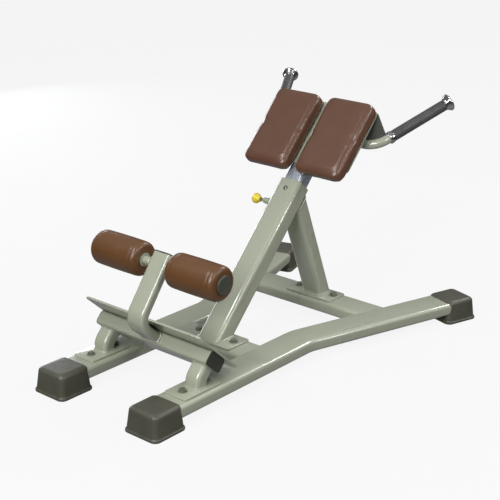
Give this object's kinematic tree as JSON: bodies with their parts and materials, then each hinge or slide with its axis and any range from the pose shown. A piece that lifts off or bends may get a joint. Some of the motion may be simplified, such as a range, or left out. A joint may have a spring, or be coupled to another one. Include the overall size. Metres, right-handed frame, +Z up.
{
  "type": "roman chair",
  "caption": "Free-standing 45 degree back extension bench: splayed rail base, leaning upright, sliding hip pads with side grips, footplate and ankle rollers.",
  "frame": {"origin": "on the floor, below the middle of the bounding box", "axes": "+Y towards the hand grips (the user's front), -Y the foot end, +Z up, +X the user's right when facing +Y"},
  "size_m": [0.8162, 1.2747, 0.7025],
  "materials": {
    "frame_paint": "smooth gloss powder coat, pale grey-green",
    "web_paint": "satin paint, dark olive",
    "foot_rubber": "satin moulded rubber, dark olive grey",
    "post_chrome": "polished chrome plate",
    "collar_chrome": "polished chrome plate",
    "pad_vinyl": "brown upholstery vinyl, fine grain, satin",
    "roller_vinyl": "brown foam-roller skin, satin",
    "grip_rubber": "knurled grip rubber, dark grey",
    "backing_board": "painted plywood, dark",
    "dark_plastic": "moulded plastic, dark grey-green",
    "cap_plastic": "moulded plastic, grey-green",
    "liner_plastic": "self-lubricating plastic, near black",
    "bolt_steel": "zinc-plated steel",
    "knob_plastic": "gloss yellow moulded plastic"
  },
  "bodies": {
    "frame": {"rail_right": "frame_paint", "rail_left": "frame_paint", "crossmember_front": "frame_paint", "crossmember_rear": "frame_paint", "upright_base_plate": "frame_paint", "strut_base_plate": "frame_paint", "upright_tube": "frame_paint", "rear_strut": "frame_paint", "pin_housing": "frame_paint", "foot_bracket_plate_right": "frame_paint", "foot_bracket_plate_left": "frame_paint", "foot_bracket_right": "frame_paint", "foot_bracket_left": "frame_paint", "foot_crossbar": "frame_paint", "footplate": "frame_paint", "roller_post": "frame_paint", "roller_axle": "frame_paint", "foot_front_right": "foot_rubber", "foot_front_left": "foot_rubber", "foot_rear_right": "foot_rubber", "foot_rear_left": "foot_rubber", "crossbar_plug_right": "dark_plastic", "crossbar_plug_left": "dark_plastic", "roller_post_cap": "dark_plastic", "roller_end_cap_right": "cap_plastic", "roller_end_cap_left": "cap_plastic", "guide_liner": "liner_plastic", "liner_screw": "bolt_steel", "upright_bolt_right": "bolt_steel", "upright_bolt_left": "bolt_steel", "strut_bolt_right": "bolt_steel", "strut_bolt_left": "bolt_steel", "foot_bracket_bolt_front_right": "bolt_steel", "foot_bracket_bolt_front_left": "bolt_steel", "foot_bracket_bolt_rear_right": "bolt_steel", "foot_bracket_bolt_rear_left": "bolt_steel"},
    "carriage": {"sliding_post": "post_chrome", "carriage_sleeve": "frame_paint", "pad_back_plate": "frame_paint", "pad_board_right": "backing_board", "pad_board_left": "backing_board", "hip_pad_right": "pad_vinyl", "hip_pad_left": "pad_vinyl", "handle_tube_right": "frame_paint", "handle_tube_left": "frame_paint", "handle_gusset_right": "web_paint", "handle_gusset_left": "web_paint", "grip_collar_right": "collar_chrome", "grip_collar_left": "collar_chrome", "grip_right": "grip_rubber", "grip_left": "grip_rubber", "grip_end_cap_right": "collar_chrome", "grip_end_cap_left": "collar_chrome"},
    "pin": {"pull_pin": "bolt_steel", "pull_knob": "knob_plastic"},
    "roller_right": {"roller_core_right": "frame_paint", "foot_roller_right": "roller_vinyl"},
    "roller_left": {"roller_core_left": "frame_paint", "foot_roller_left": "roller_vinyl"}
  },
  "joints": [
    {"name": "pad_height", "type": "slide", "parent": "frame", "child": "carriage", "axis": [0, 0.682, 0.7314], "range_m": [0, 0.15]},
    {"name": "pin_pull", "type": "slide", "parent": "frame", "child": "pin", "axis": [-1, 0, 0], "range_m": [0, 0.01], "stiffness_N_per_m": 1000, "springref_m": -0.004},
    {"name": "roller_spin_right", "type": "hinge", "parent": "frame", "child": "roller_right", "pos_m": [0.1385, -0.37786, 0.348], "axis": [1, 0, 0], "continuous": true},
    {"name": "roller_spin_left", "type": "hinge", "parent": "frame", "child": "roller_left", "pos_m": [-0.1385, -0.37786, 0.348], "axis": [1, 0, 0], "continuous": true}
  ]
}
